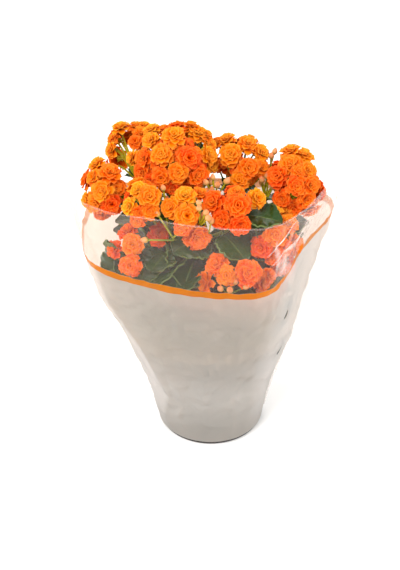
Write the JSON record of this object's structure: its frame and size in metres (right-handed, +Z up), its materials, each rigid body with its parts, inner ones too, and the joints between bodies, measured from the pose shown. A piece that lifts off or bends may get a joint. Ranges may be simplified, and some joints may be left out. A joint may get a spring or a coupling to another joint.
{
  "type": "potted flowering plant",
  "caption": "Double-flowered kalanchoe with crenate leaves and domed flower heads, in a tapered pot inside an open flared film sleeve.",
  "frame": {"origin": "middle of the pot's flat underside, on the surface it stands on", "axes": "+Z up, -Y towards the front of the picture, +X to its right"},
  "size_m": [0.22, 0.1688, 0.2776],
  "materials": {
    "pot_plastic": "satin injection-moulded",
    "soil": "crumbly potting compost, dry on top",
    "film": "thin printed film, clear in its upper part",
    "foliage": "fleshy leaf with a waxy sheen",
    "petals_red": "soft petal",
    "petals_orange": "soft petal",
    "petals_yellow": "soft petal"
  },
  "bodies": {
    "root": {"pot": "pot_plastic", "soil": "soil", "sleeve": "film", "bloom_crown": "petals_red", "bloom_back_top_left": "petals_orange", "bloom_left": "petals_yellow", "bloom_front_left": "petals_red", "bloom_front": "petals_orange", "bloom_front_right": "petals_yellow", "bloom_right_top": "petals_red", "bloom_right": "petals_orange", "bloom_right_low": "petals_yellow", "bloom_corner_low": "petals_red", "bloom_left_low": "petals_orange", "bloom_back_left": "petals_yellow", "bloom_back": "petals_red", "bloom_back_right": "petals_orange", "shoot_front_left": "foliage", "shoot_front_right": "foliage", "shoot_back_right": "foliage", "shoot_back_left": "foliage"}
  },
  "joints": []
}
